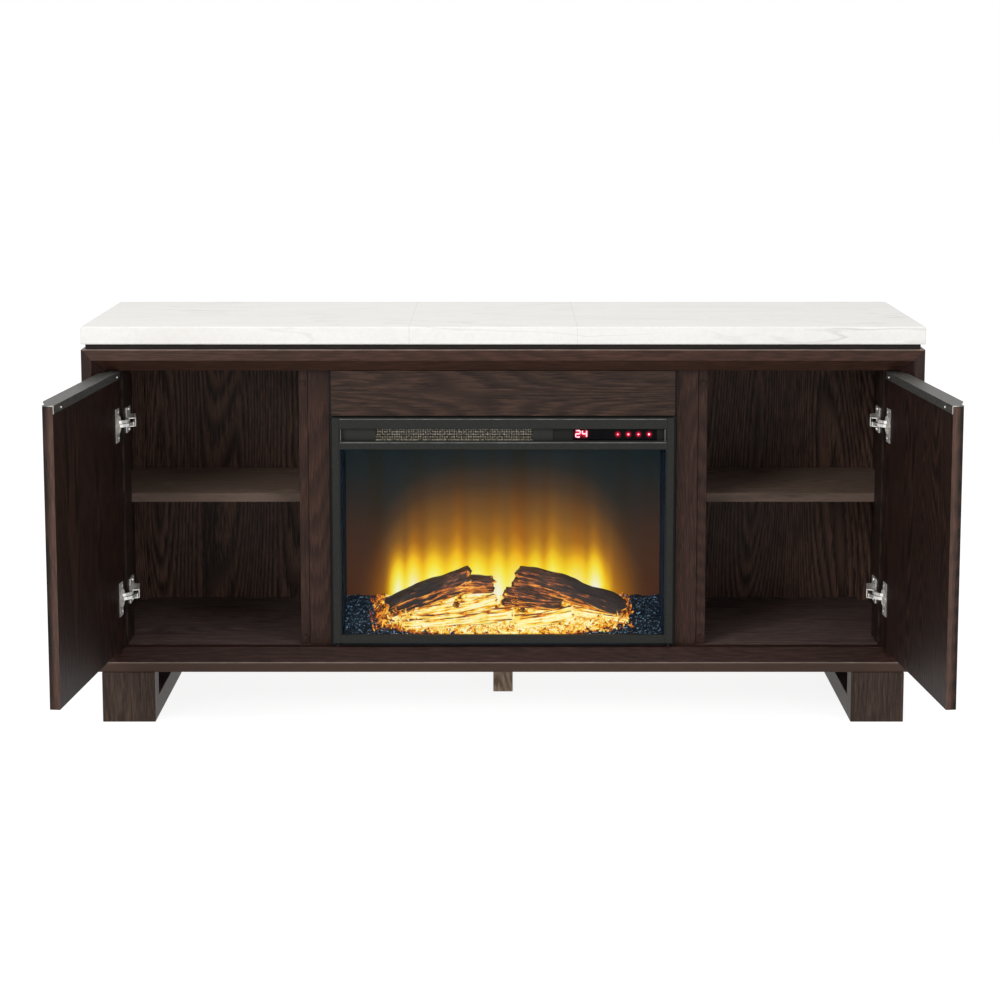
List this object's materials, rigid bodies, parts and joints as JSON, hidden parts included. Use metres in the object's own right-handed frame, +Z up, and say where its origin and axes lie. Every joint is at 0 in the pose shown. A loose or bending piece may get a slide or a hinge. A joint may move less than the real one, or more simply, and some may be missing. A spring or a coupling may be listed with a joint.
{
  "type": "fireplace sideboard",
  "caption": "Low media sideboard with a stone top, two hinged side doors with shelves behind them, and an electric fireplace insert in the middle.",
  "frame": {"origin": "on the floor under the middle of the plan, in the underside of the centre foot", "axes": "+X to the right seen from the front, -Y out of the front, +Z up"},
  "size_m": [1.524, 0.7681, 0.734],
  "materials": {
    "marble": "polished off-white marble with faint grey veins",
    "espresso_oak": "espresso-stained oak veneer, satin lacquer",
    "oak_foot": "taupe-brown stained foot",
    "black_steel": "satin black powder coat",
    "black_glass": "gloss black touch strip",
    "smoked_glass": "clear tempered glass, slightly smoked",
    "liner": "matt navy-black liner",
    "flame_screen": "translucent screen lit from behind",
    "ember_resin": "moulded resin embers",
    "log_resin": "moulded resin logs, charred bark",
    "galvanised_steel": "galvanised sheet",
    "blower_alloy": "plain aluminium",
    "bright_strip": "bright reflective strip",
    "circuit_board": "solder mask",
    "black_plastic": "moulded black plastic",
    "graphite_metal": "graphite anodised strip with bright cut edges",
    "nickel": "nickel plated steel"
  },
  "bodies": {
    "root": {"marble_top": "marble", "sub_top": "espresso_oak", "top_panel": "espresso_oak", "bottom_panel": "espresso_oak", "left_side_panel": "espresso_oak", "right_side_panel": "espresso_oak", "frame_top": "espresso_oak", "frame_bottom": "espresso_oak", "frame_left": "espresso_oak", "frame_right": "espresso_oak", "left_divider": "espresso_oak", "right_divider": "espresso_oak", "left_stile": "espresso_oak", "right_stile": "espresso_oak", "left_hinge_post": "espresso_oak", "right_hinge_post": "espresso_oak", "left_back_panel": "espresso_oak", "right_back_panel": "espresso_oak", "fascia_panel": "espresso_oak", "left_shelf": "espresso_oak", "right_shelf": "espresso_oak", "left_sled_leg": "espresso_oak", "right_sled_leg": "espresso_oak", "centre_foot": "oak_foot", "trim_frame": "black_steel", "insert_casing": "black_steel", "vent_grille": "black_steel", "control_panel": "black_glass", "glass_pane": "smoked_glass", "firebox_liner": "liner", "flame_screen": "flame_screen", "ember_bed": "ember_resin", "log_set": "log_resin", "heater_housing": "galvanised_steel", "blower_motor": "galvanised_steel", "rotor_motor": "galvanised_steel", "led_strip": "circuit_board", "power_inlet": "black_plastic", "left_lower_hinge_arm": "nickel", "left_upper_hinge_arm": "nickel", "right_lower_hinge_arm": "nickel", "right_upper_hinge_arm": "nickel"},
    "left_door": {"left_door_panel": "espresso_oak", "left_door_pull": "graphite_metal", "left_lower_hinge_cup": "nickel", "left_upper_hinge_cup": "nickel"},
    "right_door": {"right_door_panel": "espresso_oak", "right_door_pull": "graphite_metal", "right_lower_hinge_cup": "nickel", "right_upper_hinge_cup": "nickel"},
    "left_outer_links": {"left_lower_outer_link": "nickel", "left_upper_outer_link": "nickel"},
    "left_inner_links": {"left_lower_inner_link": "nickel", "left_upper_inner_link": "nickel"},
    "right_outer_links": {"right_lower_outer_link": "nickel", "right_upper_outer_link": "nickel"},
    "right_inner_links": {"right_lower_inner_link": "nickel", "right_upper_inner_link": "nickel"},
    "blower": {"blower_wheel": "blower_alloy"},
    "flame_rotor_body": {"flame_rotor": "bright_strip"}
  },
  "joints": [
    {"name": "left_door_hinge", "type": "hinge", "parent": "root", "child": "left_door", "pos_m": [-0.711, -0.173, 0.392], "axis": [0, 0, 1], "range_deg": [-14.5, 95.5]},
    {"name": "right_door_hinge", "type": "hinge", "parent": "root", "child": "right_door", "pos_m": [0.711, -0.173, 0.392], "axis": [0, 0, -1], "range_deg": [-14.5, 95.5]},
    {"name": "left_outer_link_pin", "type": "hinge", "parent": "root", "child": "left_outer_links", "pos_m": [-0.686, -0.153, 0.392], "axis": [0, 0, 1], "range_deg": [-33.01, 5.02]},
    {"name": "left_inner_link_pin", "type": "hinge", "parent": "root", "child": "left_inner_links", "pos_m": [-0.678, -0.15, 0.392], "axis": [0, 0, 1], "range_deg": [-29.01, 4.41]},
    {"name": "right_outer_link_pin", "type": "hinge", "parent": "root", "child": "right_outer_links", "pos_m": [0.686, -0.153, 0.392], "axis": [0, 0, -1], "range_deg": [-33.01, 5.02]},
    {"name": "right_inner_link_pin", "type": "hinge", "parent": "root", "child": "right_inner_links", "pos_m": [0.678, -0.15, 0.392], "axis": [0, 0, -1], "range_deg": [-29.01, 4.41]},
    {"name": "blower_spin", "type": "hinge", "parent": "root", "child": "blower", "pos_m": [-0.09, -0.099, 0.5354], "axis": [1, 0, 0], "continuous": true},
    {"name": "flame_rotor_spin", "type": "hinge", "parent": "root", "child": "flame_rotor_body", "pos_m": [0, -0.0485, 0.215], "axis": [1, 0, 0], "continuous": true}
  ],
  "couplings": [
    {"joint": "left_outer_link_pin", "follows": "left_door_hinge", "ratio": -0.34555},
    {"joint": "left_inner_link_pin", "follows": "left_door_hinge", "ratio": -0.30367},
    {"joint": "right_outer_link_pin", "follows": "right_door_hinge", "ratio": -0.34555},
    {"joint": "right_inner_link_pin", "follows": "right_door_hinge", "ratio": -0.30367}
  ]
}
